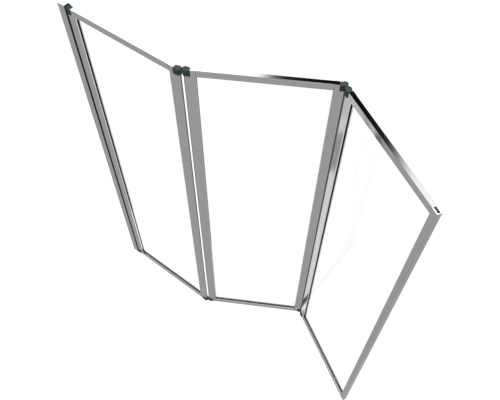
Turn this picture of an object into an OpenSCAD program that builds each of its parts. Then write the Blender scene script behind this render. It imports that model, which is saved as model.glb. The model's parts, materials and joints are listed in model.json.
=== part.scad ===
// Three-panel folding bath screen: framed clear panes that fold in a zigzag from a wall profile.
// +X points out of the wall, along the first panel. +Y is the side away from the room. +Z is up.
// The origin is on the wall face, at the middle of the screw pattern.

/* [Panels] */
// Height of every panel frame
panel_h = 1400; // [1000:10:1800]
// Width of panel 1, from its wall pivot to its outer pivot
panel_1_w = 423; // [300:1:600]
// Width of panel 2, from pivot to pivot
panel_2_w = 420; // [300:1:600]
// Width of panel 3, from its pivot to its free edge
panel_3_w = 418.5; // [300:0.5:600]
// Angle from panel 1 to panel 2 as drawn
turn_1 = 30; // [0:1:90]
// Angle from panel 2 to panel 3 as drawn, the other way
turn_2 = 60.5; // [0:0.5:90]

/* [Frame] */
// Depth of the frame profiles, front to back
frame_d = 14.4; // [13:0.1:20]
// Face width of a hinge stile, from its pivot to its inner edge
stile_w = 27.6; // [27:0.1:40]
// Face width of the free stile
free_stile_w = 20.4; // [18:0.1:30]
// Face height of the top and bottom rails
rail_h = 21.4; // [20:0.1:30]
// Thickness of the wall on the outer side of a rail and of the free stile
outer_wall = 3; // [2.6:0.1:4]
// Thickness of the thin walls round the hinge chamber
thin_wall = 1.5; // [1.2:0.1:1.7]
// Radius of the long edges of the profiles
edge_r = 0.8; // [0.4:0.1:1.2]

/* [Glazing] */
// Thickness of the pane
pane_t = 4; // [3:0.5:5]
// How far the pane reaches into the frame
pane_bite = 9; // [7:0.5:9]
// Thickness of the rubber between pane and frame
gasket_t = 1.4; // [1:0.1:1.5]
// How far the rubber stays below the inner edge of the frame
gasket_recess = 1; // [0.5:0.1:2]

/* [Hinges] */
// Distance between the two pivots of a hinge link
link_l = 19.8; // [19.6:0.1:24]
// Half depth of the hinge caps, and radius of their round nose
cap_r = 9.5; // [9:0.1:9.6]
// Half depth of the caps at the wall
wall_cap_r = 8.6; // [8.2:0.1:8.7]
// Length of a cap from its pivot to its flat end
cap_l = 12.5; // [11:0.1:13]
// Height of a hinge cap
cap_h = 20; // [16:0.5:40]
// Height of the solid part of a cap, above the cut end of the stile
core_h = 9.5; // [9:0.1:14]
// Width of the edge that is taken off a cap's end
cap_chamfer = 0.8; // [0.4:0.1:1.2]
// How much narrower the far side of a hinge cap is at its flat end
shoulder_w = 4.5; // [2:0.1:4.5]
// How far down from its top a hinge cap is narrower
shoulder_h = 6.5; // [5:0.1:7]
// Thickness of a cap over its link slot
cap_roof = 3.2; // [2.4:0.1:3.2]
// Thickness of the link plates
link_t = 4; // [3:0.1:4.2]
// Half width of the link plates
link_r = 6.5; // [5.5:0.1:7]
// Outer radius of the bushes in the link plates
bush_r = 3.4; // [3:0.1:4]
// Radius of the hinge pins
pin_r = 2; // [1.5:0.1:2.2]
// Depth of cap over the end of a hinge pin
pin_cover = 1.2; // [0.8:0.1:2]

/* [Wall side] */
// Distance from the wall to the wall pivot
wall_pivot_x = 37.4; // [37.4:0.1:45]
// Width of the wall profile, out from the wall
wall_profile_w = 28.3; // [24:0.1:28.3]
// Depth of the wall profile
wall_profile_d = 19; // [18.4:0.1:19]
// Thickness of the wall profile against the wall
wall_base_t = 2; // [1.5:0.1:3]
// Distance from the wall to the adjusting profile inside
adjuster_x = 10; // [8:0.5:12]
// Thickness of the black strip between the wall profile and panel 1
seal_strip_t = 1.7; // [1:0.1:1.7]
// Place of the wall stile's back edge, from the wall pivot
nose_root = -1.7; // [-1.7:0.1:-1]
// Inner radius of the rubber nose
nose_hollow_r = 4.6; // [3:0.1:5.5]
// Thickness of the bracket arms
arm_t = 3; // [2:0.1:5]
// How far the bracket arms reach past the wall pivot
arm_reach = 3.6; // [3.4:0.1:5]
// How far the bracket arms reach back, behind the adjusting profile
arm_back = 4; // [2:0.5:6]
// Radius of the two outer corners of a bracket arm
arm_corner_r = 4; // [2:0.1:5]
// Depth of bracket arm over the end of a wall pin
arm_cover = 1; // [0.6:0.1:1.2]
// Height of the bracket plug inside the adjusting profile
plug_h = 40; // [20:1:80]
// Thickness of the covers on the wall profile
cover_t = 1; // [0.8:0.1:3]
// Radius of the wall screw holes
wall_hole_r = 2.6; // [2:0.1:3.5]
// Distance between the outer wall screw holes
outer_hole_gap = 1240; // [400:10:1240]
// Distance between the inner wall screw holes
inner_hole_gap = 420; // [100:10:420]

/* [Small parts] */
// Radius of the small screws
screw_r = 1.5; // [1.2:0.1:1.7]
// Radius of the screws' countersunk heads
screw_head_r = 2.8; // [2.4:0.1:3]
// Length of the small screws
screw_l = 12; // [8:0.5:14]
// Length of the corner keys along the rail
key_arm = 32; // [20:1:60]
// Length of the corner keys along the stile
key_leg = 60; // [30:1:100]
// How far the keys lie below the open end of the free stile
free_key_drop = 6; // [4:0.1:6.5]
// Width of the bottom seal's flat strip
seal_w = 9; // [6:0.1:12]
// Height of the bottom seal's lip
seal_lip_h = 2.6; // [1:0.1:3]
// Thickness of the bottom seal
seal_t = 1; // [0.6:0.1:1.5]

/* [Hidden] */
$fn = 48;
fit_gap = 0.1;                  // between pieces that are pushed together
run_gap = 0.05;                 // round a pin that turns
slot_gap = 0.2;                 // over and under a link plate
swing_gap = 0.4;                // beside a link plate
lift_gap = 0.3;                 // between panel 1 and the brackets
cut = 1;                        // how far a cutter stands out of what it cuts
groove_w = pane_t + 2 * gasket_t + 2 * fit_gap;
groove_x = cap_l + fit_gap + thin_wall;
chamber_d = frame_d - 2 * thin_wall;
gasket_d = pane_t + 2 * gasket_t;
slot_h = link_t + 2 * slot_gap;
core_z = panel_h - core_h;
gasket_edge = rail_h - pane_bite - gasket_t;
key_low = gasket_edge - fit_gap;
key_d = groove_w - 2 * fit_gap;
key_screw_z = (key_low + outer_wall) / 2;
adjuster_w = wall_profile_w - fit_gap - adjuster_x;
adjuster_d = wall_profile_d - 2 * thin_wall - 4 * fit_gap;
seal_stem_w = 2.2;
seal_stem_h = 2;
panel_ws = [panel_1_w, panel_2_w, panel_3_w];
turns = [0, turn_1, turn_1 - turn_2];
function ahead(a, d) = [d * cos(a), d * sin(a)];
pivot_1 = [wall_pivot_x, 0];
pivot_2 = pivot_1 + ahead(turns[0], panel_1_w) + ahead(turns[1], link_l);
pivot_3 = pivot_2 + ahead(turns[1], panel_2_w) + ahead(turns[2], link_l);
pivots = [pivot_1, pivot_2, pivot_3];
function is_free(n) = n == 3;
function right_stile_w(n) = is_free(n) ? free_stile_w : stile_w;
function rail_end(n) = panel_ws[n - 1] - right_stile_w(n);

chrome = "#b8babd";
slate = "#3c4a4a";
black = "#161818";
glass = [0.86, 0.94, 0.92, 0.35];
clear = [0.8, 0.83, 0.84, 0.7];
steel = "#8d9094";
pale = "#c3c6c6";

// ---- placing ----

// Panel n's own frame: its left pivot at x = 0, its middle plane at y = 0, its foot at z = 0
module on_panel(n) {
    translate([pivots[n - 1][0], pivots[n - 1][1], -panel_h / 2])
        rotate([0, 0, turns[n - 1]])
            children();
}

// The link after panel n: its first pivot at x = 0
module on_link(n) {
    first = pivots[n - 1] + ahead(turns[n - 1], panel_ws[n - 1]);
    translate([first[0], first[1], -panel_h / 2])
        rotate([0, 0, turns[n]])
            children();
}

module on_wall() {
    translate([0, 0, -panel_h / 2])
        children();
}

module at_bottom() {
    translate([0, 0, panel_h])
        mirror([0, 0, 1])
            children();
}

module at_both_ends() {
    children();
    at_bottom()
        children();
}

// Turns a left-hand piece into the right-hand one of panel n
module at_right(n) {
    translate([panel_ws[n - 1], 0, 0])
        mirror([1, 0, 0])
            children();
}

// ---- profiles ----

module soft_rect(x0, x1, depth, r) {
    translate([x0 + r, -depth / 2])
        square([x1 - x0 - 2 * r, depth]);
    translate([x0, -depth / 2 + r])
        square([x1 - x0, depth - 2 * r]);
    for (x = [x0 + r, x1 - r], y = [-1, 1] * (depth / 2 - r))
        translate([x, y])
            circle(r = r);
}

module slab(x0, x1, depth) {
    translate([x0, -depth / 2])
        square([x1 - x0, depth]);
}

module nosed_outline(r, x1) {
    circle(r = r);
    slab(0, x1, 2 * r);
}

module stile_outline() {
    circle(d = frame_d);
    slab(0, stile_w / 2, frame_d);
    soft_rect(stile_w / 3, stile_w, frame_d, edge_r);
}

module rail_outline() {
    difference() {
        rotate(90)
            soft_rect(-rail_h, 0, frame_d, edge_r);
        rotate(90)
            slab(-rail_h - cut, -outer_wall, groove_w);
    }
}

// ---- screws ----

// A countersunk screw along +X, with its head's face at x = 0
module screw_body(l) {
    rotate([0, 90, 0])
        cylinder(r = screw_r, h = l);
    rotate([0, 90, 0])
        cylinder(r1 = screw_head_r, r2 = screw_r, h = thin_wall);
}

module corner_screw(x) {
    translate([x, 0, panel_h - key_screw_z])
        screw_body(screw_l);
}

// ---- frame ----

module cap_seat() {
    translate([-frame_d, -frame_d, core_z])
        cube([frame_d + cap_l + fit_gap, 2 * frame_d, core_h + cut]);
}

module hinge_stile() {
    color(chrome)
        difference() {
            linear_extrude(panel_h)
                difference() {
                    stile_outline();
                    nosed_outline(chamber_d / 2, cap_l + fit_gap);
                    slab(groove_x, stile_w + cut, groove_w);
                }
            at_both_ends()
                cap_seat();
            at_both_ends()
                corner_screw(cap_l + fit_gap);
        }
}

module wall_stile() {
    color(chrome)
        difference() {
            linear_extrude(panel_h)
                difference() {
                    soft_rect(nose_root, stile_w, frame_d, edge_r);
                    slab(nose_root + thin_wall, cap_l + fit_gap, chamber_d);
                    slab(groove_x, stile_w + cut, groove_w);
                }
            at_both_ends()
                cap_seat();
            at_both_ends()
                corner_screw(cap_l + fit_gap);
        }
}

// Free stile with its outer face at x = 0, drawn towards +X as the mirrored right-hand piece
module free_stile() {
    color(chrome)
        difference() {
            linear_extrude(panel_h)
                difference() {
                    soft_rect(0, free_stile_w, frame_d, edge_r);
                    slab(outer_wall, free_stile_w + cut, groove_w);
                }
            at_both_ends()
                corner_screw(0);
        }
}

module top_rail(n) {
    color(chrome)
        translate([stile_w, 0, panel_h])
            rotate([90, 0, 90])
                linear_extrude(rail_end(n) - stile_w)
                    rail_outline();
}

module bottom_rail(n) {
    color(chrome)
        difference() {
            at_bottom()
                top_rail(n);
            translate([stile_w - cut, -seal_stem_w / 2 - fit_gap, -cut])
                cube([rail_end(n) - stile_w + 2 * cut, seal_stem_w + 2 * fit_gap,
                    seal_stem_h + fit_gap + cut]);
        }
}

// ---- glazing ----

module pane(n) {
    color(glass)
        translate([stile_w - pane_bite, -pane_t / 2, rail_h - pane_bite])
            cube([rail_end(n) - stile_w + 2 * pane_bite, pane_t,
                panel_h - 2 * (rail_h - pane_bite)]);
}

// A plate in the middle plane that reaches `in` past the frame's inner edge, into the frame
module glazing_plate(n, in, depth) {
    translate([stile_w - in, -depth / 2, rail_h - in])
        cube([rail_end(n) - stile_w + 2 * in, depth, panel_h - 2 * (rail_h - in)]);
}

module gasket(n) {
    color(pale)
        difference() {
            glazing_plate(n, pane_bite + gasket_t, gasket_d);
            glazing_plate(n, pane_bite, pane_t);
            glazing_plate(n, gasket_recess, gasket_d + 2 * cut);
        }
}

// ---- corner keys and screws ----

module hinge_corner_key() {
    difference() {
        union() {
            translate([groove_x + fit_gap, -key_d / 2, panel_h - key_low])
                cube([stile_w - groove_x - fit_gap, key_d, key_low]);
            translate([groove_x + fit_gap, -key_d / 2, panel_h - key_low])
                cube([stile_w + key_arm - groove_x - fit_gap, key_d,
                    key_low - outer_wall - fit_gap]);
            translate([groove_x + fit_gap, -key_d / 2, panel_h - key_leg])
                cube([stile_w - pane_bite - gasket_t - groove_x - 2 * fit_gap, key_d, key_leg]);
        }
        corner_screw(cap_l + fit_gap);
    }
}

module free_corner_key() {
    reach = free_stile_w - pane_bite - gasket_t - fit_gap;
    difference() {
        union() {
            translate([outer_wall + fit_gap, -key_d / 2, panel_h - key_low])
                cube([free_stile_w - outer_wall - fit_gap, key_d, key_low - free_key_drop]);
            translate([free_stile_w, -key_d / 2, panel_h - key_low])
                cube([key_arm, key_d, key_low - outer_wall - fit_gap]);
            translate([outer_wall + fit_gap, -key_d / 2, panel_h - key_leg])
                cube([reach - outer_wall - fit_gap, key_d, key_leg - free_key_drop]);
        }
        corner_screw(0);
    }
}

module corner_keys(n) {
    color(chrome)
        at_both_ends() {
            hinge_corner_key();
            if (!is_free(n))
                at_right(n)
                    hinge_corner_key();
        }
}

module free_corner_keys(n) {
    color(black)
        at_both_ends()
            at_right(n)
                free_corner_key();
}

module corner_screws(n) {
    color(steel)
        at_both_ends() {
            corner_screw(cap_l + fit_gap);
            at_right(n)
                corner_screw(is_free(n) ? 0 : cap_l + fit_gap);
        }
}

// ---- seals ----

module bottom_seal(n) {
    first = cap_l + 5 * fit_gap;
    last = panel_ws[n - 1] - (is_free(n) ? 0 : first);
    color(clear) {
        translate([first, -seal_w / 2, -seal_t])
            cube([last - first, seal_w, seal_t]);
        translate([first, seal_w / 2 - 1.5 * seal_t, -seal_t - seal_lip_h])
            cube([last - first, 1.5 * seal_t, seal_lip_h + seal_t]);
        translate([stile_w, -seal_stem_w / 2, -seal_t])
            cube([rail_end(n) - stile_w, seal_stem_w, seal_t + seal_stem_h]);
    }
}

module nose_seal() {
    color(black)
        translate([0, 0, cap_h])
            linear_extrude(panel_h - 2 * cap_h)
                difference() {
                    circle(d = frame_d);
                    circle(r = nose_hollow_r);
                    slab(nose_root, frame_d, frame_d + cut);
                }
}

// ---- hinge caps ----

// Outer form of a top cap: a round nose, a flat end at x = cap_l and a chamfered top edge
module cap_form(r) {
    straight = cap_h - cap_chamfer;
    top_r = r - cap_chamfer;
    translate([0, 0, panel_h - cap_h]) {
        cylinder(r = r, h = straight);
        translate([0, 0, straight])
            cylinder(r1 = r, r2 = top_r, h = cap_chamfer);
        rotate([90, 0, 90])
            linear_extrude(cap_l)
                polygon([[-r, 0], [r, 0], [r, straight], [top_r, cap_h],
                    [-top_r, cap_h], [-r, straight]]);
    }
}

// What is taken off the far side of a hinge cap, down to a shoulder
module cap_shoulder() {
    end = cap_l + cut;
    translate([0, 0, panel_h - shoulder_h])
        linear_extrude(shoulder_h + cut)
            polygon([[0, cap_r], [end, cap_r - shoulder_w * end / cap_l], [end, cap_r + cut],
                [0, cap_r + cut]]);
}

// The space that the link plate sweeps from in line, towards -X, round to `side`
module link_slot(side) {
    reach = link_l + link_r;
    slot_r = link_r + swing_gap;
    translate([0, 0, panel_h - cap_roof - slot_h])
        linear_extrude(slot_h) {
            circle(r = slot_r);
            scale([-1, side])
                translate([0, -slot_r])
                    square([reach, reach + slot_r]);
            scale([-1, side])
                translate([-slot_r, 0])
                    square([reach + slot_r, reach]);
        }
}

module hinge_cap(side) {
    color(slate)
        difference() {
            union() {
                difference() {
                    cap_form(cap_r);
                    translate([0, 0, core_z - cap_h])
                        linear_extrude(cap_h)
                            nosed_outline(frame_d / 2 + fit_gap, cap_l + cut);
                }
                translate([0, 0, panel_h - cap_h])
                    linear_extrude(cap_h - core_h)
                        nosed_outline(chamber_d / 2 - fit_gap, cap_l);
            }
            cap_shoulder();
            link_slot(side);
            translate([0, 0, panel_h - cap_h - cut])
                cylinder(r = pin_r, h = cap_h + cut - pin_cover);
        }
}

module wall_cap() {
    color(slate)
        difference() {
            union() {
                difference() {
                    cap_form(wall_cap_r);
                    translate([0, 0, core_z - cap_h])
                        linear_extrude(cap_h)
                            slab(nose_root - fit_gap, cap_l + cut, frame_d + 2 * fit_gap);
                }
                translate([0, 0, panel_h - cap_h])
                    linear_extrude(cap_h - core_h + cut)
                        slab(nose_root + thin_wall + fit_gap, cap_l, chamber_d - 2 * fit_gap);
            }
            translate([0, 0, core_z + pin_cover])
                cylinder(r = pin_r + run_gap, h = core_h);
        }
}

// ---- pins, links and bushes ----

module hinge_pin() {
    translate([0, 0, panel_h - cap_h])
        cylinder(r = pin_r, h = cap_h - pin_cover);
}

module hinge_pins(n, left, right) {
    color(steel)
        at_both_ends() {
            if (left)
                hinge_pin();
            if (right)
                at_right(n)
                    hinge_pin();
        }
}

module link_plate() {
    color(black)
        translate([0, 0, panel_h - cap_roof - slot_gap - link_t])
            linear_extrude(link_t)
                difference() {
                    union() {
                        slab(0, link_l, 2 * link_r);
                        for (x = [0, link_l])
                            translate([x, 0])
                                circle(r = link_r);
                    }
                    for (x = [0, link_l])
                        translate([x, 0])
                            circle(r = bush_r);
                }
}

module link_bushes() {
    color("white")
        at_both_ends()
            translate([0, 0, panel_h - cap_roof - slot_gap - link_t])
                linear_extrude(link_t)
                    for (x = [0, link_l])
                        translate([x, 0])
                            difference() {
                                circle(r = bush_r);
                                circle(r = pin_r + run_gap);
                            }
}

// ---- wall side ----

adjusting_zs = [panel_h * 0.09, panel_h / 2, panel_h * 0.91];

module adjusting_screw(z) {
    translate([adjuster_x + adjuster_w / 2, wall_profile_d / 2, z])
        rotate([0, 0, -90])
            screw_body(screw_l / 2);
}

module wall_profile() {
    foot = -lift_gap - arm_t;
    color(chrome)
        difference() {
            translate([0, 0, foot])
                linear_extrude(panel_h - 2 * foot)
                    difference() {
                        soft_rect(0, wall_profile_w, wall_profile_d, edge_r);
                        slab(wall_base_t, wall_profile_w + cut, wall_profile_d - 2 * thin_wall);
                    }
            for (z = [-1, 1] * outer_hole_gap / 2)
                translate([-cut, 0, panel_h / 2 + z])
                    rotate([0, 90, 0])
                        cylinder(r = wall_hole_r, h = wall_base_t + 2 * cut);
            for (z = [-1, 1] * inner_hole_gap / 2)
                translate([-cut, 0, panel_h / 2 + z])
                    rotate([0, 90, 0])
                        cylinder(r = wall_hole_r, h = wall_base_t + 2 * cut);
            for (z = adjusting_zs)
                adjusting_screw(z);
        }
}

module adjusting_profile() {
    color(chrome)
        difference() {
            translate([0, 0, -lift_gap])
                linear_extrude(panel_h + 2 * lift_gap)
                    difference() {
                        slab(adjuster_x, adjuster_x + adjuster_w, adjuster_d);
                        slab(adjuster_x + thin_wall, adjuster_x + adjuster_w - thin_wall,
                            adjuster_d - 2 * thin_wall);
                    }
            for (z = adjusting_zs)
                adjusting_screw(z);
        }
}

module adjusting_screws() {
    color(steel)
        for (z = adjusting_zs)
            adjusting_screw(z);
}

module wall_seal_strip() {
    color(black)
        translate([0, 0, cap_h + swing_gap])
            linear_extrude(panel_h - 2 * cap_h - 2 * swing_gap)
                slab(adjuster_x + adjuster_w, adjuster_x + adjuster_w + seal_strip_t,
                    frame_d - 2 * edge_r);
}

module bracket() {
    arm_z = panel_h + lift_gap;
    color(black)
        difference() {
            union() {
                translate([0, 0, arm_z])
                    linear_extrude(arm_t) {
                        slab(adjuster_x - arm_back, wall_profile_w + fit_gap, adjuster_d);
                        soft_rect(wall_profile_w + fit_gap, wall_pivot_x + arm_reach,
                            wall_profile_d - edge_r, arm_corner_r);
                        slab(wall_profile_w + fit_gap, wall_pivot_x, wall_profile_d - edge_r);
                    }
                translate([0, 0, arm_z - plug_h])
                    linear_extrude(plug_h)
                        slab(adjuster_x + thin_wall + fit_gap,
                            adjuster_x + adjuster_w - thin_wall - fit_gap,
                            adjuster_d - 2 * thin_wall - 2 * fit_gap);
            }
            translate([wall_pivot_x, 0, arm_z - cut])
                cylinder(r = pin_r, h = cut + arm_t - arm_cover);
        }
}

module profile_cover() {
    color(chrome)
        translate([0, 0, panel_h + lift_gap + arm_t])
            linear_extrude(cover_t)
                soft_rect(0, wall_profile_w, wall_profile_d, edge_r);
}

module wall_pins() {
    pin_foot = core_z + 2 * pin_cover;
    color(steel)
        at_both_ends()
            translate([wall_pivot_x, 0, pin_foot])
                cylinder(r = pin_r, h = panel_h + lift_gap + arm_t - arm_cover - pin_foot);
}

// ---- the screen ----

on_wall() wall_profile();
on_wall() adjusting_profile();
on_wall() wall_seal_strip();
on_wall() adjusting_screws();
on_wall() bracket();  // top_bracket
on_wall() at_bottom() bracket();  // bottom_bracket
on_wall() profile_cover();  // top_cover
on_wall() at_bottom() profile_cover();  // bottom_cover
on_wall() wall_pins();

on_panel(1) wall_stile();  // panel_1_wall_stile
on_panel(1) at_right(1) hinge_stile();  // panel_1_right_stile
on_panel(1) top_rail(1);  // panel_1_top_rail
on_panel(1) bottom_rail(1);  // panel_1_bottom_rail
on_panel(1) gasket(1);  // panel_1_gasket
on_panel(1) corner_keys(1);  // panel_1_corner_keys
on_panel(1) corner_screws(1);  // panel_1_corner_screws
on_panel(1) nose_seal();  // panel_1_nose_seal
on_panel(1) bottom_seal(1);  // panel_1_bottom_seal
on_panel(1) wall_cap();  // panel_1_wall_top_cap
on_panel(1) at_bottom() wall_cap();  // panel_1_wall_bottom_cap
on_panel(1) at_right(1) hinge_cap(1);  // panel_1_top_cap
on_panel(1) at_right(1) at_bottom() hinge_cap(1);  // panel_1_bottom_cap
on_panel(1) hinge_pins(1, false, true);  // panel_1_pins

on_link(1) link_plate();  // link_1_top_plate
on_link(1) at_bottom() link_plate();  // link_1_bottom_plate
on_link(1) link_bushes();  // link_1_bushes

on_panel(2) hinge_stile();  // panel_2_left_stile
on_panel(2) at_right(2) hinge_stile();  // panel_2_right_stile
on_panel(2) top_rail(2);  // panel_2_top_rail
on_panel(2) bottom_rail(2);  // panel_2_bottom_rail
on_panel(2) gasket(2);  // panel_2_gasket
on_panel(2) corner_keys(2);  // panel_2_corner_keys
on_panel(2) corner_screws(2);  // panel_2_corner_screws
on_panel(2) bottom_seal(2);  // panel_2_bottom_seal
on_panel(2) hinge_cap(1);  // panel_2_left_top_cap
on_panel(2) at_bottom() hinge_cap(1);  // panel_2_left_bottom_cap
on_panel(2) at_right(2) hinge_cap(-1);  // panel_2_right_top_cap
on_panel(2) at_right(2) at_bottom() hinge_cap(-1);  // panel_2_right_bottom_cap
on_panel(2) hinge_pins(2, true, true);  // panel_2_pins

on_link(2) link_plate();  // link_2_top_plate
on_link(2) at_bottom() link_plate();  // link_2_bottom_plate
on_link(2) link_bushes();  // link_2_bushes

on_panel(3) hinge_stile();  // panel_3_left_stile
on_panel(3) at_right(3) free_stile();  // panel_3_free_stile
on_panel(3) top_rail(3);  // panel_3_top_rail
on_panel(3) bottom_rail(3);  // panel_3_bottom_rail
on_panel(3) gasket(3);  // panel_3_gasket
on_panel(3) corner_keys(3);  // panel_3_corner_keys
on_panel(3) free_corner_keys(3);  // panel_3_free_corner_keys
on_panel(3) corner_screws(3);  // panel_3_corner_screws
on_panel(3) bottom_seal(3);  // panel_3_bottom_seal
on_panel(3) hinge_cap(-1);  // panel_3_top_cap
on_panel(3) at_bottom() hinge_cap(-1);  // panel_3_bottom_cap
on_panel(3) hinge_pins(3, true, false);  // panel_3_pins

on_panel(1) pane(1);  // panel_1_pane
on_panel(2) pane(2);  // panel_2_pane
on_panel(3) pane(3);  // panel_3_pane
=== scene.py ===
"""A folding bath screen: three framed clear panes that fold in a zigzag from a wall profile.

Every length in the builders is in millimetres, in the same places as the construction model.
"""

import json
import logging
import math
from dataclasses import dataclass, field, replace
from enum import Enum
from typing import Any, Optional, Sequence, Union

import bmesh
import bpy
from mathutils import Matrix, Vector
from mathutils.geometry import tessellate_polygon


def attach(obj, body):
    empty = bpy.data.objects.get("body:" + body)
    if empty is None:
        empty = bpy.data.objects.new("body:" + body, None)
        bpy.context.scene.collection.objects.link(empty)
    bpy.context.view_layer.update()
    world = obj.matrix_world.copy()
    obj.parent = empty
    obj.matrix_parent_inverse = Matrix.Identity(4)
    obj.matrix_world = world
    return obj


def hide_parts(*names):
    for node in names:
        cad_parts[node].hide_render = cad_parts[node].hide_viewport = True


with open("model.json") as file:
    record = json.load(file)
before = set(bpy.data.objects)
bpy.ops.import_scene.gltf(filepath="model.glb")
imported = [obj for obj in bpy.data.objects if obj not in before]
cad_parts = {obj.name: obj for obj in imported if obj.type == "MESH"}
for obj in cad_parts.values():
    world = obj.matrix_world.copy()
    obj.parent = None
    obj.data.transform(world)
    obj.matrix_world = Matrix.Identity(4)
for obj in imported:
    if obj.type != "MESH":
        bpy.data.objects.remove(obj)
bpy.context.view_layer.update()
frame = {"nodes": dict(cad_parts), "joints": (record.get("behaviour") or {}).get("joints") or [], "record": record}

MM = 0.001
OVER = 1.0  # how far a cutter reaches past what it cuts, in millimetres
LAST_PANEL = 418.5  # from the last pivot to the free edge, in millimetres
END_TURNS = (0, 30, 60, 90)  # the steps of a rounded end, in degrees
CAP_TURNS = (0, 22.5, 45, 67.5, 90)  # the steps of a cap's rounded upper edge, in degrees
SHARP_TURN = 33  # an edge that turns more than this stays sharp
log = logging.getLogger("bath_screen")

Point = tuple[float, float]
Loop = list[Point]
Colour = tuple[float, float, float]


class Run(Enum):
    """The way a profile is drawn out, with the number of the local axis that it follows."""

    ALONG = 0
    OUT = 1
    UP = 2

    def place(self, u: float, v: float, w: float) -> Vector:
        """Puts a section's point (u, v) at distance w along the run."""
        return Vector({Run.UP: (u, v, w), Run.ALONG: (w, u, v), Run.OUT: (v, w, u)}[self])

    def scale(self, along: float, across: float) -> tuple[float, float, float]:
        """A texture scale with one value along the run and another across it."""
        return tuple(along if i == self.value else across for i in range(3))


class Edge(Enum):
    """What a panel's upright edge is built for."""

    WALL = "wall"
    HINGE = "hinge"
    FREE = "free"


class Slot(Enum):
    """The record's material slots."""

    FRAME = "polished_frame"
    CAP = "hinge_plastic"
    LINK = "link_metal"
    BUSH = "bush_plastic"
    STEEL = "steel"
    BRACKET = "bracket_metal"
    KEY_BLACK = "black_plastic"
    KEY = "cast_alloy"
    RUBBER = "black_rubber"
    GLAZING = "glazing_rubber"
    SEAL = "clear_seal"
    PANE = "pane"


# ---- outlines ----


def arc(centre: Point, radius: float, start: float, end: float, steps: int = 6) -> Loop:
    """Points on an arc.

    Args:
        centre: The arc's centre.
        radius: Its radius.
        start: The angle of the first point, in degrees.
        end: The angle of the last point, in degrees.
        steps: How many chords it has.

    Returns:
        The points, both ends included.
    """
    turns = [math.radians(start + (end - start) * i / steps) for i in range(steps + 1)]
    return [(centre[0] + radius * math.cos(a), centre[1] + radius * math.sin(a)) for a in turns]


def circle(centre: Point, radius: float, steps: int = 32) -> Loop:
    """A closed circle's points."""
    return arc(centre, radius, 0, 360 - 360 / steps, steps - 1)


def soft_box(x0: float, x1: float, half: float, radius: float, steps: int = 6) -> Loop:
    """A rectangle about y = 0 with rounded corners.

    Args:
        x0: Its low side.
        x1: Its high side.
        half: Half its depth.
        radius: The corners' radius.
        steps: Chords in each corner.

    Returns:
        The closed outline.
    """
    return (arc((x1 - radius, half - radius), radius, 0, 90, steps)
            + outer_corners(x0, half, radius, steps)
            + arc((x1 - radius, radius - half), radius, 270, 360, steps))


def square_box(x0: float, x1: float, half: float) -> Loop:
    """A rectangle about y = 0 whose corners are only just broken."""
    return soft_box(x0, x1, half, 0.01, 1)


def outer_corners(x0: float, half: float, radius: float, steps: int = 6) -> Loop:
    """The two rounded corners of the side at x0."""
    return (arc((x0 + radius, half - radius), radius, 90, 180, steps)
            + arc((x0 + radius, radius - half), radius, 180, 270, steps))


def nosed(radius: float, x1: float, corner: float = 0.0, steps: int = 40) -> Loop:
    """A D outline: a round nose about the origin and a flat end.

    Args:
        radius: The nose's radius, and half the depth.
        x1: Where the flat end is.
        corner: The radius of the two corners at the flat end.
        steps: Chords in the nose.

    Returns:
        The closed outline.
    """
    nose = arc((0, 0), radius, 90, 270, steps)
    if corner <= 0:
        return nose + [(x1, -radius), (x1, radius)]
    return (nose + arc((x1 - corner, corner - radius), corner, 270, 360)
            + arc((x1 - corner, radius - corner), corner, 0, 90))


def grooved(x1: float, half: float, corner: float, mouth_x: float, mouth: float,
            lip: float) -> Loop:
    """The inner side of a profile that has a groove in it, from its lower corner to its upper one.

    Args:
        x1: The inner side.
        half: Half the profile's depth.
        corner: The radius of its corners.
        mouth_x: The groove's bottom.
        mouth: Half the groove's width.
        lip: The radius of the groove's edges.

    Returns:
        The points, counter-clockwise.
    """
    return (arc((x1 - corner, corner - half), corner, 270, 360)
            + arc((x1 - lip, -mouth - lip), lip, 0, 90, 3)
            + [(mouth_x, -mouth), (mouth_x, mouth)]
            + arc((x1 - lip, mouth + lip), lip, 270, 360, 3)
            + arc((x1 - corner, half - corner), corner, 0, 90))


def doubled(lower: Loop) -> Loop:
    """Closes half an outline with its mirror image about y = 0."""
    return lower + [(x, -y) for x, y in reversed(lower)]


def inset(loop: Loop, distance: float) -> Loop:
    """Moves a counter-clockwise outline inwards, or outwards where distance is negative.

    Args:
        loop: The closed outline.
        distance: How far each side moves.

    Returns:
        The moved outline, point for point.
    """
    moved = []
    count = len(loop)
    for i, here in enumerate(loop):
        before = Vector(here) - Vector(loop[i - 1])
        after = Vector(loop[(i + 1) % count]) - Vector(here)
        normals = [Vector((-side.y, side.x)).normalized() for side in (before, after)]
        middle = normals[0] + normals[1]
        reach = middle.length_squared
        step = middle * (2 * distance / reach) if reach > 1e-9 else normals[0] * distance
        moved.append((here[0] + step.x, here[1] + step.y))
    return moved


# ---- solids ----


def linked(name: str, data: bpy.types.ID) -> bpy.types.Object:
    """A new object in the scene that shows the data."""
    made = bpy.data.objects.new(name, data)
    bpy.context.scene.collection.objects.link(made)
    return made


def walls(sizes: Sequence[int], levels: int) -> list[tuple[int, ...]]:
    """The faces between stacked levels of the same closed loops.

    Args:
        sizes: How many points each loop has.
        levels: How many levels there are.

    Returns:
        The faces, as indices of points that are numbered level by level.
    """
    faces, total = [], sum(sizes)
    for level in range(levels - 1):
        start = level * total
        for size in sizes:
            for i in range(size):
                a, b = start + i, start + (i + 1) % size
                faces.append((a, b, b + total, a + total))
            start += size
    return faces


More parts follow.
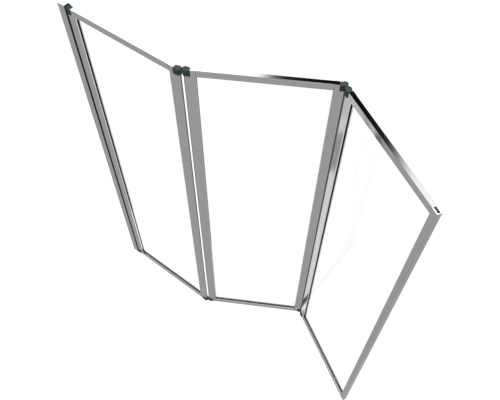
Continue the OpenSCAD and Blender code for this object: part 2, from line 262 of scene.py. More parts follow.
@dataclass
class Solid:
    """A closed mesh in the making.

    Args:
        points: Its corners, in millimetres.
        faces: Its faces, as indices of corners.
    """

    points: list[Vector]
    faces: list[tuple[int, ...]]

    @staticmethod
    def prism(outline: Loop, low: float, high: float, run: Run = Run.UP, soft: float = 0.0,
              holes: Sequence[Loop] = ()) -> "Solid":
        """Draws a cross section out.

        Args:
            outline: Its outer outline, counter-clockwise.
            low: Where it starts.
            high: Where it ends.
            run: The axis that it follows.
            soft: How much its two ends are rounded over.
            holes: The closed chambers in it, counter-clockwise too.

        Returns:
            The drawn solid.
        """
        turns = [math.radians(a) for a in END_TURNS] if soft > 0 else [0.0]
        levels = [(soft * (1 - math.cos(t)), high - soft + soft * math.sin(t)) for t in turns]
        levels = [(d, low + high - z) for d, z in reversed(levels)] + levels
        loops = [(1, outline)] + [(-1, hole) for hole in holes]
        points = []
        for distance, z in levels:
            for side, loop in loops:
                shape = inset(loop, side * distance) if distance > 0 else loop
                points += [run.place(u, v, z) for u, v in shape]
        faces = walls([len(loop) for _, loop in loops], len(levels))
        flat = [[Vector((u, v, 0)) for u, v in loop] for _, loop in loops]
        total = len(points) // len(levels)
        top = len(points) - total
        if len(flat) == 1:
            faces += [tuple(range(total - 1, -1, -1)), tuple(range(top, top + total))]
        else:
            for a, b, c in tessellate_polygon(flat):
                faces += [(a, b, c), (top + c, top + b, top + a)]
        return Solid(points, faces)

    @staticmethod
    def loft(rings: Sequence[Sequence[Vector]]) -> "Solid":
        """Joins closed rings of the same number of points, and closes the first and the last."""
        size = len(rings[0])
        points = [Vector(p) for ring in rings for p in ring]
        faces = [tuple(range(size - 1, -1, -1)), tuple(range(len(points) - size, len(points)))]
        return Solid(points, faces + walls([size], len(rings)))

    @staticmethod
    def turned(profile: Sequence[Point], steps: int = 32) -> "Solid":
        """Turns a profile of (distance along X, radius) about the X axis."""
        return Solid.loft([[Vector((x, r * math.cos(a), r * math.sin(a)))
                            for a in (2 * math.pi * i / steps for i in range(steps))]
                           for x, r in profile])

    @staticmethod
    def mitred(section: Loop, x0: float, x1: float, z0: float, z1: float) -> "Solid":
        """Runs a section round a rectangular window, with mitred corners.

        Args:
            section: Points of (distance out from the window, depth).
            x0: The window's left side.
            x1: Its right side.
            z0: Its foot.
            z1: Its head.

        Returns:
            The closed ring.
        """
        points, faces = [], []
        for out, y in section:
            points += [Vector(p) for p in ((x0 - out, y, z0 - out), (x1 + out, y, z0 - out),
                                           (x1 + out, y, z1 + out), (x0 - out, y, z1 + out))]
        count = len(section)
        for i in range(count):
            a, b = 4 * i, 4 * ((i + 1) % count)
            faces += [(a + k, a + (k + 1) % 4, b + (k + 1) % 4, b + k) for k in range(4)]
        return Solid(points, faces)

    @staticmethod
    def rod(radius: float, low: float, high: float, x: float = 0.0) -> "Solid":
        """An upright rod at (x, 0)."""
        return Solid.prism(circle((x, 0), radius), low, high)

    @staticmethod
    def together(solids: Sequence["Solid"]) -> "Solid":
        """Several solids that don't touch, as one."""
        points, faces = [], []
        for solid in solids:
            start = len(points)
            points += solid.points
            faces += [tuple(start + i for i in f) for f in solid.faces]
        return Solid(points, faces)

    def changed(self, matrix: Matrix) -> "Solid":
        """The solid after a move, a turn or a mirroring."""
        faces = self.faces
        if matrix.determinant() < 0:
            faces = [tuple(reversed(f)) for f in faces]
        return Solid([matrix @ p for p in self.points], list(faces))

    def moved(self, x: float = 0, y: float = 0, z: float = 0) -> "Solid":
        """The solid, moved."""
        return self.changed(Matrix.Translation((x, y, z)))

    def at_right(self, width: float) -> "Solid":
        """Turns a left-hand piece into the right-hand one of a panel of that width."""
        return self.changed(Matrix.Translation((width, 0, 0)) @ Matrix.Diagonal((-1, 1, 1, 1)))

    def at_bottom(self, height: float) -> "Solid":
        """Turns a top piece into the bottom one."""
        return self.changed(Matrix.Translation((0, 0, height)) @ Matrix.Diagonal((1, 1, -1, 1)))

    def swapped(self) -> "Solid":
        """The solid with its front and back swapped."""
        return self.changed(Matrix.Diagonal((1, -1, 1, 1)))

    def minus(self, *cutters: "Solid") -> "Solid":
        """The solid without what the cutters cover."""
        return self._combined("DIFFERENCE", cutters)

    def plus(self, *others: "Solid") -> "Solid":
        """The solid joined to others that overlap it."""
        return self._combined("UNION", others)

    def _combined(self, operation: str, others: Sequence["Solid"]) -> "Solid":
        """Runs Blender's Boolean modifier on scratch objects, one solid after another."""
        result = self
        for other in others:
            pair = [linked("scratch", solid._mesh("scratch")) for solid in (result, other)]
            step = pair[0].modifiers.new("combine", "BOOLEAN")
            step.operation, step.object, step.solver = operation, pair[1], "EXACT"
            bpy.context.view_layer.update()
            graph = bpy.context.evaluated_depsgraph_get()
            mesh = bpy.data.meshes.new_from_object(pair[0].evaluated_get(graph))
            result = Solid([v.co.copy() for v in mesh.vertices],
                           [tuple(p.vertices) for p in mesh.polygons])
            bpy.data.meshes.remove(mesh)
            for scratch in pair:
                data = scratch.data
                bpy.data.objects.remove(scratch)
                bpy.data.meshes.remove(data)
        return result

    def _mesh(self, name: str, unit: float = 1.0) -> bpy.types.Mesh:
        """Makes a mesh with its faces turned outwards. The unit is the length of one millimetre."""
        mesh = bpy.data.meshes.new(name)
        mesh.from_pydata([tuple(p) for p in self.points], [], self.faces)
        shape = bmesh.new()
        shape.from_mesh(mesh)
        bmesh.ops.remove_doubles(shape, verts=shape.verts, dist=1e-3 * unit)
        bmesh.ops.recalc_face_normals(shape, faces=shape.faces)
        for face in shape.faces:
            face.smooth = True
        shape.to_mesh(mesh)
        shape.free()
        return mesh

    def build(self, name: str, place: Matrix) -> bpy.types.Object:
        """Makes the finished object, which sits at the origin with its place in its mesh.

        Args:
            name: The object's name.
            place: Where the solid's own frame is.

        Returns:
            The object, with clean shading over its flats and rounds.
        """
        mesh = self.changed(place @ Matrix.Scale(MM, 4))._mesh(name, MM)
        mesh.set_sharp_from_angle(angle=math.radians(SHARP_TURN))
        made = linked(name, mesh)
        made.modifiers.new("flats", "WEIGHTED_NORMAL").keep_sharp = True
        return made


# ---- shader graphs ----

Value = Union["Field", float, int, Sequence[float]]


class Field:
    """An output socket. Arithmetic on it adds Math nodes.

    Args:
        graph: The graph it belongs to.
        socket: The output socket.
    """

    def __init__(self, graph: "Graph", socket: bpy.types.NodeSocket) -> None:
        """Keeps the graph and the socket."""
        self.graph = graph
        self.socket = socket

    def __add__(self, other: Value) -> "Field":
        """Self + other."""
        return self.graph.math("ADD", self, other)

    def __rsub__(self, other: Value) -> "Field":
        """Other - self."""
        return self.graph.math("SUBTRACT", other, self)

    def __mul__(self, other: Value) -> "Field":
        """Self * other."""
        return self.graph.math("MULTIPLY", self, other)

    __radd__ = __add__
    __rmul__ = __mul__


@dataclass(frozen=True)
class Noise:
    """A noise texture.

    Args:
        scale: Its grains in each metre, on each axis of the piece's own frame.
        detail: Its octaves.
        roughness: How strong the finer octaves are.
    """

    scale: tuple[float, float, float]
    detail: float = 3.0
    roughness: float = 0.6


def even(grains: float, detail: float = 3.0, roughness: float = 0.6) -> Noise:
    """Noise with the same scale on each axis."""
    return Noise((grains,) * 3, detail, roughness)


class Graph:
    """A node tree that is built from Python expressions.

    Args:
        tree: The node tree, which is emptied first.
        place: The dressed piece's own frame, where the material has one.
    """

    def __init__(self, tree: bpy.types.NodeTree, place: Optional[Matrix] = None) -> None:
        """Empties the tree."""
        self.tree = tree
        self.place = place or Matrix.Identity(4)
        tree.nodes.clear()

    def add(self, kind: str, settings: Optional[dict[str, Any]] = None,
            inputs: Optional[dict[Union[str, int], Value]] = None,
            output: Union[str, int] = 0) -> Field:
        """Adds a node of any type.

        Args:
            kind: The node's type.
            settings: Its settings, set first.
            inputs: Values or fields for its sockets, by name or index.
            output: Which output comes back.

        Returns:
            The chosen output.
        """
        node = self.tree.nodes.new(kind)
        for name, value in (settings or {}).items():
            setattr(node, name, value)
        for name, value in (inputs or {}).items():
            socket = node.inputs[name]
            if isinstance(value, Field):
                self.tree.links.new(value.socket, socket)
            elif isinstance(value, (int, float)):
                socket.default_value = value
            else:
                short = len(value) < len(socket.default_value)
                socket.default_value = (*value, 1.0) if short else tuple(value)
        return Field(self, node.outputs[output])

    def math(self, operation: str, *values: Value) -> Field:
        """Adds a Math node."""
        return self.add("ShaderNodeMath", {"operation": operation}, dict(enumerate(values)))

    def local(self, scale: Sequence[float] = (1, 1, 1)) -> Field:
        """The coordinates in the piece's own frame in metres, times a scale for each axis."""
        world = self.add("ShaderNodeTexCoord", output="Object")
        away = self.add("ShaderNodeVectorMath", {"operation": "SUBTRACT"},
                        {0: world, 1: self.place.translation})
        own = self.add("ShaderNodeVectorRotate", {"rotation_type": "Z_AXIS"},
                       {"Vector": away, "Angle": -self.place.to_euler().z})
        return self.add("ShaderNodeVectorMath", {"operation": "MULTIPLY"}, {0: own, 1: scale})

    def coordinate(self, axis: int) -> Field:
        """One coordinate in the piece's own frame, in metres."""
        return self.add("ShaderNodeSeparateXYZ", None, {0: self.local()}, axis)

    def noise(self, noise: Noise) -> Field:
        """Noise over the piece, from 0 to 1."""
        return self.add("ShaderNodeTexNoise", None,
                        {"Vector": self.local(noise.scale), "Scale": 1.0, "Detail": noise.detail,
                         "Roughness": noise.roughness})

    def blend(self, amount: Value, first: Value, second: Value) -> Field:
        """Mixes two colours."""
        return self.add("ShaderNodeMix", {"data_type": "RGBA"}, {0: amount, 6: first, 7: second}, 2)

    def mix(self, amount: Value, first: Field, second: Field) -> Field:
        """Mixes two shaders."""
        return self.add("ShaderNodeMixShader", None, {0: amount, 1: first, 2: second})

    def rise(self, value: Value, low: float, high: float) -> Field:
        """A smooth step from 0 at low to 1 at high."""
        return self.add("ShaderNodeMapRange", {"interpolation_type": "SMOOTHSTEP"},
                        {"Value": value, "From Min": low, "From Max": high})

    def band(self, value: Value, ends: Sequence[float], soft: float) -> Field:
        """1 between two ends and 0 outside, with edges of the width soft."""
        up, down = (self.rise(value, end - soft / 2, end + soft / 2) for end in ends)
        return up * (1 - down)

    def bump(self, height: Value, strength: float, distance: float) -> Field:
        """A normal from a height, with the distance in metres."""
        return self.add("ShaderNodeBump", None,
                        {"Height": height, "Strength": strength, "Distance": distance}, "Normal")

    def show(self, shader: Field, kind: str = "ShaderNodeOutputMaterial") -> None:
        """Adds an output node for the shader."""
        node = self.tree.nodes.new(kind)
        self.tree.links.new(shader.socket, node.inputs["Surface"])


# ---- finishes ----


@dataclass(frozen=True)
class Finish:
    """A surface finish.

    Args:
        name: The material's name.
    """

    name: str

    def shade(self, graph: Graph) -> None:
        """Builds the material's nodes."""
        raise NotImplementedError

    def material(self, body: str, place: Matrix) -> bpy.types.Material:
        """The finish's material in one body's frame, made on first use.

        Args:
            body: The body's name.
            place: The frame that the texture lies in.

        Returns:
            The material.
        """
        name = f"{self.name}_{body}"
        found = bpy.data.materials.get(name)
        if found is None:
            found = bpy.data.materials.new(name)
            found.use_nodes = True
            self.shade(Graph(found.node_tree, place))
        return found


@dataclass(frozen=True)
class Window:
    """The opening of a panel's frame, in the panel's own frame, in metres.

    Args:
        left: Its left side.
        right: Its right side.
        foot: Its foot.
        head: Its head.
    """

    left: float
    right: float
    foot: float
    head: float

    def inside(self, graph: Graph, margin: float = 0.0) -> Field:
        """1 within the opening widened by a margin, and 0 outside."""
        x, z = graph.coordinate(0), graph.coordinate(2)
        return (graph.math("GREATER_THAN", x, self.left - margin)
                * graph.math("LESS_THAN", x, self.right + margin)
                * graph.math("GREATER_THAN", z, self.foot - margin)
                * graph.math("LESS_THAN", z, self.head + margin))


@dataclass(frozen=True)
class Patch:
    """What lies beyond a wavy line across a piece, with colours of its own.

    Args:
        start: Where the line is along the piece, in metres.
        soft: How soft it is, in metres.
        wander: How far it wanders, in metres.
        wave: The noise of its wandering.
        low: The colour beyond it where the piece's mottle is low.
        high: The colour beyond it where the mottle is high.
    """

    start: float
    soft: float
    wander: float
    wave: Noise
    low: Colour
    high: Colour

    def over(self, graph: Graph, colour: Field, mottle: Field) -> Field:
        """The piece's colour with the patch laid over it."""
        along = graph.coordinate(0) + self.wander * graph.noise(self.wave)
        amount = graph.rise(along, self.start, self.start + self.soft)
        return graph.blend(amount, colour, graph.blend(mottle, self.low, self.high))


@dataclass(frozen=True)
class Mottled(Finish):
    """Two colours, mixed by a mottle, over a fine relief.

    Args:
        low: The colour where the mottle is low.
        high: The colour where it is high.
        mottle: The noise of the mottle.
        relief: The noise of the relief.
        rough: The least roughness, and what the relief and the mottle add to it.
        bump: The relief's strength, and its depth in metres.
        values: Other values of the shader, by name.
        clear: The least opacity and what the mottle adds, where it is see-through.
        patch: What lies over one end of it.
    """

    low: Colour
    high: Colour
    mottle: Noise
    relief: Noise
    rough: tuple[float, float, float]
    bump: tuple[float, float]
    values: dict[str, Value] = field(default_factory=dict)
    clear: Optional[tuple[float, float]] = None
    patch: Optional[Patch] = None

    def colour(self, graph: Graph, mottle: Field) -> Field:
        """The colour over the surface."""
        colour = graph.blend(mottle, self.low, self.high)
        return self.patch.over(graph, colour, mottle) if self.patch else colour

    def shade(self, graph: Graph) -> None:
        """Builds the material's nodes."""
        relief, mottle = graph.noise(self.relief), graph.noise(self.mottle)
        least, by_relief, by_mottle = self.rough
        inputs = {"Base Color": self.colour(graph, mottle),
                  "Roughness": least + by_relief * relief + by_mottle * mottle,
                  "Normal": graph.bump(relief, *self.bump), **self.values}
        if self.clear is not None:
            inputs["Alpha"] = self.clear[0] + self.clear[1] * mottle
        graph.show(graph.add("ShaderNodeBsdfPrincipled", None, inputs))


@dataclass(frozen=True)
class Polished(Mottled):
    """Bright drawn aluminium.

    Args:
        window: The frame's opening, along whose edges the profile's lips are painted paler: a painted highlight
            for the light that they catch.
        cut: The height of an open sawn end, in metres, where it has one.
        lips: The colours of that painted highlight on the lips.
        lip_width: The painted highlight's width, in metres.
        sawn: The colour of the sawn end.
    """

    window: Optional[Window] = None
    cut: Optional[float] = None
    # painted highlight: the lips at the window are paler to stand in for the light that they catch
    lips: tuple[Colour, Colour] = ((0.54, 0.5508, 0.5472), (0.60, 0.612, 0.608))
    lip_width: float = 0.0003
    sawn: Colour = (0.40, 0.40, 0.405)

    def colour(self, graph: Graph, mottle: Field) -> Field:
        """Streaks, with a painted highlight on the lips at the window and a paler sawn end."""
        colour = super().colour(graph, mottle)
        if self.window is not None:
            # the painted highlight on the lips, along the window's edges
            inside = self.window.inside(graph, self.lip_width)
            colour = graph.blend(inside, colour, graph.blend(mottle, *self.lips))
        if self.cut is not None:
            high = graph.math("GREATER_THAN", graph.coordinate(2), self.cut)
            colour = graph.blend(high, colour, self.sawn)
        return colour


@dataclass(frozen=True)
class ClearGlass(Finish):
    """Clear safety glass with a faint green tint.

    Args:
        window: The opening of the frame that holds it.
        tint: What one face lets through.
        edge: What it lets through in the frame's groove, where no light comes in from behind.
        sheen: The colours that it mirrors in.
        waver: How the rolled surface wavers.
        bump: How strong and how deep the wavering is.
        rough: The least roughness, and what the wavering adds.
        mirror: How much it mirrors straight on, and what grazing sight lines add.
        power: How soon a sight line counts as grazing.
    """

    window: Window
    tint: Colour = (0.954, 0.957, 0.955)
    edge: Colour = (0.034, 0.050, 0.045)
    sheen: tuple[Colour, Colour] = ((0.90, 0.93, 0.92), (0.94, 0.96, 0.95))
    waver: Noise = Noise((9.0, 9.0, 5.0), 2.0, 0.4)
    bump: tuple[float, float] = (0.02, 0.0004)
    rough: tuple[float, float] = (0.015, 0.01)
    mirror: tuple[float, float] = (0.008, 0.20)
    power: float = 5.0

    def shade(self, graph: Graph) -> None:
        """See-through, with a faint mirror that grows towards grazing sight lines."""
        waver = graph.noise(self.waver)
        gloss = graph.add("ShaderNodeBsdfPrincipled", None, {
            "Base Color": graph.blend(waver, *self.sheen), "Metallic": 1.0,
            "Roughness": self.rough[0] + self.rough[1] * waver,
            "Normal": graph.bump(waver, *self.bump)})
        clear, dark = (graph.add("ShaderNodeBsdfTransparent", None, {"Color": colour})
                       for colour in (self.tint, self.edge))
        clear = graph.mix(self.window.inside(graph), dark, clear)
        grazing = graph.math("POWER", graph.add("ShaderNodeLayerWeight", output="Facing"), self.power)
        graph.show(graph.mix(self.mirror[0] + self.mirror[1] * grazing, clear, gloss))


METAL: dict[str, Value] = {"Metallic": 1.0, "Specular Tint": (0.69, 0.69, 0.69)}
MATT: dict[str, Value] = {"Specular IOR Level": 0.05}
SATIN: dict[str, Value] = {"Specular IOR Level": 0.3}


def polished(name: str, run: Run = Run.UP, **more: Any) -> Polished:
    """Bright drawn aluminium with fine lines along the profile.

    Args:
        name: The material's name.
        run: The way the profile was drawn.
        more: The finish's other values.

    Returns:
        The finish.
    """
    return Polished(name, (0.267, 0.268, 0.271), (0.292, 0.293, 0.296),
                    Noise(run.scale(1.2, 160.0)), Noise(run.scale(3.0, 1600.0), 2.0),
                    (0.055, 0.06, 0.03), (0.08, 0.00005), METAL, **more)


def rubber(name: str, run: Run, low: Colour, high: Colour) -> Mottled:
    """Matt rubber with the faint lines of its extrusion and a dusting of bloom.

    Args:
        name: The material's name.
        run: The way it was extruded.
        low: Its colour.
        high: Its colour under the most bloom.

    Returns:
        The finish.
    """
    return Mottled(name, low, high, even(60.0, 4.0), Noise(run.scale(6.0, 1800.0), 2.0),
                   (0.55, 0.2, 0.0), (0.3, 0.00008), {"Specular IOR Level": 0.2})


SLATE_GRAIN = even(2600.0, 2.0, 0.55)

# Each plain finish: name, low and high colour, mottle, relief, roughness, bump and other values.
FINISHES: dict[Slot, Finish] = {
    Slot.FRAME: polished("polished_upright"),
    Slot.CAP: Mottled("moulded_slate", (0.046, 0.064, 0.063), (0.058, 0.079, 0.077), even(140.0),
                      SLATE_GRAIN, (0.55, 0.12, 0.0), (0.25, 0.00006), MATT),
    Slot.LINK: Mottled("blackened_plate", (0.016, 0.017, 0.018), (0.0352, 0.0374, 0.0396),
                       Noise((220.0, 900.0, 220.0)), even(900.0, 2.0, 0.5),
                       (0.36, 0.0, 0.2), (0.2, 0.00008), SATIN),
    Slot.BUSH: Mottled("white_acetal", (0.78, 0.78, 0.74), (0.70, 0.70, 0.65),
                       even(400.0, 3.0, 0.5), even(400.0, 3.0, 0.5),
                       (0.32, 0.15, 0.0), (0.1, 0.00004)),
    Slot.STEEL: Mottled("turned_steel", (0.46, 0.465, 0.475), (0.3956, 0.3999, 0.4085),
                        even(300.0), even(2400.0, 2.0), (0.2, 0.15, 0.0), (0.1, 0.00004),
                        {"Metallic": 1.0}),
    Slot.BRACKET: Mottled("dipped_bracket", (0.004, 0.004, 0.0045), (0.008, 0.008, 0.009),
                          even(140.0), SLATE_GRAIN, (0.45, 0.15, 0.0), (0.2, 0.00006), MATT,
                          patch=Patch(0.0378, 0.0002, 0.0004, even(300.0, 2.0, 0.5),
                                      (0.066, 0.090, 0.088), (0.080, 0.108, 0.105))),
    # Painted light and shade: the black corner key is given a mid grey that stands in for the light in the free
    # stile's hollow end, and its patch paints the outer end near black as painted shade.
    Slot.KEY_BLACK: Mottled("black_corner_plastic", (0.255, 0.259, 0.263), (0.300, 0.304, 0.309),
                            even(70.0), even(1800.0, 2.0, 0.5), (0.42, 0.14, 0.0), (0.2, 0.00006),
                            SATIN, patch=Patch(0.4082, 0.002, 0.001, even(70.0),
                                               (0.012, 0.012, 0.013), (0.012, 0.012, 0.013))),
    Slot.KEY: Mottled("cast_corner_alloy", (0.262, 0.263, 0.266), (0.284, 0.285, 0.288),
                      even(90.0), even(1300.0, 3.0, 0.65), (0.10, 0.06, 0.0), (0.05, 0.00004), METAL),
    Slot.RUBBER: rubber("black_rubber_upright", Run.UP, (0.012, 0.013, 0.013),
                        (0.0228, 0.0247, 0.0247)),
    Slot.GLAZING: rubber("grey_glazing_rubber", Run.OUT, (0.24, 0.25, 0.25), (0.30, 0.3125, 0.3125)),
    Slot.SEAL: Mottled("soft_vinyl", (0.72, 0.75, 0.76), (0.80, 0.82, 0.83), even(30.0),
                       Noise(Run.ALONG.scale(8.0, 1500.0), 2.0), (0.22, 0.2, 0.0),
                       (0.2, 0.00006), clear=(0.09, 0.06)),
}


def slot_of(node: str) -> Slot:
    """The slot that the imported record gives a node."""
    return Slot(next(part["material_slot"] for part in frame["record"]["subparts"]
                     if part["node"] == node))


def pivot(joint: str) -> Vector:
    """Where a joint's axis stands, seen from above, in millimetres."""
    place = next(j["pos_m"] for j in frame["joints"] if j["name"] == joint)
    return Vector(place[:2]) / MM


# ---- the parts of the screen, with all lengths in millimetres ----


@dataclass(frozen=True)
class FrameSizes:
    """The sizes that all panels share, in millimetres."""

    height: float = 1400.0
    depth: float = 14.4
    stile: float = 27.6
    free_stile: float = 20.4
    rail: float = 21.4
    outer_wall: float = 3.0
    thin_wall: float = 1.5
    edge: float = 0.8
    sawn: float = 0.3
    sawn_edge: float = 0.25
    lip: float = 0.3
    groove: float = 7.0
    groove_x: float = 14.1
    chamber: float = 11.4
    chamber_corner: float = 0.5
    seat_x: float = 12.6
    core: float = 9.5
    pane: float = 4.0
    ground: float = 0.5
    bite: float = 9.0
    gasket: float = 1.4
    recess: float = 1.0
    screw_drop: float = 6.95
    slot_half: float = 1.2
    slot_depth: float = 2.1


@dataclass(frozen=True)
class CapSizes:
    """The sizes of the moulded caps and the rubber nose between them, in millimetres."""

    radius: float = 9.5
    wall_radius: float = 8.6
    length: float = 12.5
    height: float = 20.0
    edge: float = 0.8
    foot_edge: float = 0.25
    corner: float = 0.6
    least_corner: float = 0.08
    nose_hollow: float = 4.6
    shoulder: float = 4.5
    shoulder_x: float = 0.05
    shoulder_height: float = 6.5
    roof: float = 3.2
    slot_height: float = 4.4
    link_radius: float = 6.5
    link_length: float = 19.8
    swing: float = 0.4
    pin: float = 2.0
    pin_fit: float = 0.05
    pin_cover: float = 1.2
    fit: float = 0.1
    nose_root: float = -1.7
    nose_steps: int = 60
    nose_flute: float = 0.16
    plug_corner: float = 0.3


@dataclass(frozen=True)
class ScrewSizes:
    """The sizes of the small countersunk screws, in millimetres.

    The rim and the tip are rounded by points of (distance along, change of radius).
    """

    radius: float = 1.5
    head: float = 2.8
    head_depth: float = 1.5
    thread: float = 0.5
    thread_depth: float = 0.28
    socket: float = 1.05
    socket_depth: float = 1.125
    long: float = 12.0
    short: float = 6.0
    mouth: Point = (-0.5, 0.433)
    rim: tuple[Point, ...] = ((0.0, -0.15), (0.12, -0.02))
    tip: tuple[Point, ...] = ((-0.3, -0.2), (0.0, -0.6))
    sides: int = 24

    def cutter(self, length: float) -> Solid:
        """What a screw along +X takes out of the pieces that it holds."""
        return Solid.turned([(self.mouth[0], self.head + self.mouth[1]), (0.0, self.head),
                             (self.head_depth, self.radius), (length, self.radius)], self.sides)

    def body(self, length: float) -> Solid:
        """A screw along +X with its head's face at x = 0.

        Args:
            length: Its whole length.

        Returns:
            The screw, with a thread and a six-sided socket.
        """
        profile = [(x, self.head + r) for x, r in self.rim] + [(self.head_depth, self.radius)]
        x = self.head_depth + self.thread
        while x < length - self.thread:
            profile += [(x, self.radius), (x + self.thread / 2, self.radius - self.thread_depth)]
            x += self.thread
        profile += [(length + x, self.radius + r) for x, r in self.tip]
        hexagon = [(v, u) for u, v in circle((0, 0), self.socket, 6)]
        socket = Solid.prism(hexagon[::-1], self.mouth[0], self.socket_depth, Run.ALONG)
        return Solid.turned(profile, self.sides).minus(socket)


@dataclass(frozen=True)
class BracketSizes:
    """The sizes of the brackets that carry the wall pins, in millimetres."""

    gap: float = 0.3
    thickness: float = 3.0
    edge: float = 0.3
    tail: float = 4.0
    inset: float = 1.7
    neck: float = 0.1
    nose: float = 3.6
    corner: float = 4.0
    plug: float = 40.0
    plug_corner: float = 0.5
    bore: float = 2.0


@dataclass
class Assembly:
    """A group of pieces that ride on one body.

    Args:
        body: The body's name.
        place: Where the group's own frame is.
        sizes: The sizes that the panels share.
        caps: The sizes of the caps.
        screws: The sizes of the screws.
    """

    body: str
    place: Matrix
    sizes: FrameSizes = field(default_factory=FrameSizes)
    caps: CapSizes = field(default_factory=CapSizes)
    screws: ScrewSizes = field(default_factory=ScrewSizes)

    @property
    def prefix(self) -> str:
        """What the names of the group's nodes start with."""
        return f"{self.body}_"

    def add(self, name: str, solid: Solid, finish: Optional[Finish] = None) -> None:
        """Builds the piece that stands for a node, and dresses it.

        Args:
            name: The node's name after the prefix.
            solid: The piece's shape, in the group's own frame.
            finish: Its finish, or the one of its slot.
        """
        node = self.prefix + name
        slot = slot_of(node)
        piece = solid.build(f"{node}_piece", self.place)
        piece.data.materials.append((finish or FINISHES[slot]).material(self.body, self.place))
        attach(piece, self.body)
        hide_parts(node)
        log.info("%s: %s on %s, %d faces", piece.name, slot.value, self.body,
                 len(piece.data.polygons))

    def add_both(self, names: str, top: Solid, finish: Optional[Finish] = None) -> None:
        """Builds a top piece and its mirror image at the bottom.

        Args:
            names: The nodes' names, with {} for the end's name.
            top: The top piece's shape.
            finish: Their finish, or the one of their slot.
        """
        self.add(names.format("top"), top, finish)
        self.add(names.format("bottom"), top.at_bottom(self.sizes.height), finish)

    def keep(self, *names: str) -> None:
        """Gives nodes whose shape stays the finish of their slot."""
        for node in (self.prefix + name for name in names):
            slot = slot_of(node)
            for holder in frame["nodes"][node].material_slots:
                holder.link = "OBJECT"
                holder.material = FINISHES[slot].material(self.body, self.place)
            log.info("%s: kept, %s on %s", node, slot.value, self.body)

    def round_over(self) -> list[Point]:
        """How far a cap's upper edge is drawn in, at each height of its round."""
        edge, top = self.caps.edge, self.sizes.height
        return [(edge * (1 - math.cos(t)), top - edge * (1 - math.sin(t)))
                for t in (math.radians(turn) for turn in CAP_TURNS)]

    def cap_form(self, radius: float) -> Solid:
        """The outer form of a top cap: a D with all its upper edges rounded over."""
        caps, foot = self.caps, self.sizes.height - self.caps.height
        rings = []
        for distance, z in [(caps.foot_edge, foot), (0.0, foot + caps.foot_edge)] + self.round_over():
            corner = max(caps.corner - distance, caps.least_corner)
            outline = nosed(radius - distance, caps.length - distance, corner)
            rings.append([Vector((x, y, z)) for x, y in outline])
        return Solid.loft(rings)

    def shoulder(self) -> Solid:
        """What is taken off the far side of a hinge cap, down to a shoulder."""
        caps, top = self.caps, self.sizes.height
        start, end, slope = -OVER, caps.length + OVER, caps.shoulder / caps.length
        away = caps.radius + 2 * OVER
        levels = [(0.0, top - caps.shoulder_height)] + self.round_over() + [(caps.edge, top + OVER)]
        rings = []
        for distance, z in levels:
            near, far = (caps.radius - slope * (x - caps.shoulder_x) - distance for x in (start, end))
            rings.append([Vector((x, y, z)) for x, y in ((start, near), (end, far), (end, away),
                                                         (start, away))])
        return Solid.loft(rings)


# The gasket's lip as points of (past the recess, away from the pane), its heel as points of
# (past the recess, in from the groove's side), and the chamfer of its back.
GASKET_LIP = ((0.9, 0.0), (0.35, 0.12), (0.08, 0.45), (0.0, 0.8))
GASKET_HEEL = ((0.2, 0.2), (0.8, 0.0))
GASKET_ROUND = 0.5
# The bottom seal's gap beside a cap, its strip's half width, half height and corner, and its fin
# and stem as points of (depth, height over the panel's foot).
SEAL_GAP = 0.5
SEAL_STRIP = (4.5, 0.5, 0.3)
SEAL_FIN = [(3.0, -0.6), (3.05, -1.4), (3.2, -2.2), (3.45, -2.9), (3.75, -3.45), (4.05, -3.6),
            (4.3, -3.5), (4.32, -3.2), (4.35, -2.5), (4.42, -1.6), (4.48, -0.8), (4.48, -0.5)]
SEAL_STEM = [(-0.9, -0.6), (0.9, -0.6), (0.9, 0.7), (1.1, 1.1), (1.1, 1.7), (0.8, 2.0),
             (-0.8, 2.0), (-1.1, 1.7), (-1.1, 1.1), (-0.9, 0.7)]
# The black strip's corner and its rib, as points of (in from its front, in from its side) and
# (in from its front, away from its middle).
STRIP_ROUND = ((0.8, 0.0), (0.5, 0.4), (0.35, 0.9), (0.0, 1.6))
STRIP_RIB = ((0.0, 2.2), (0.3, 1.8))


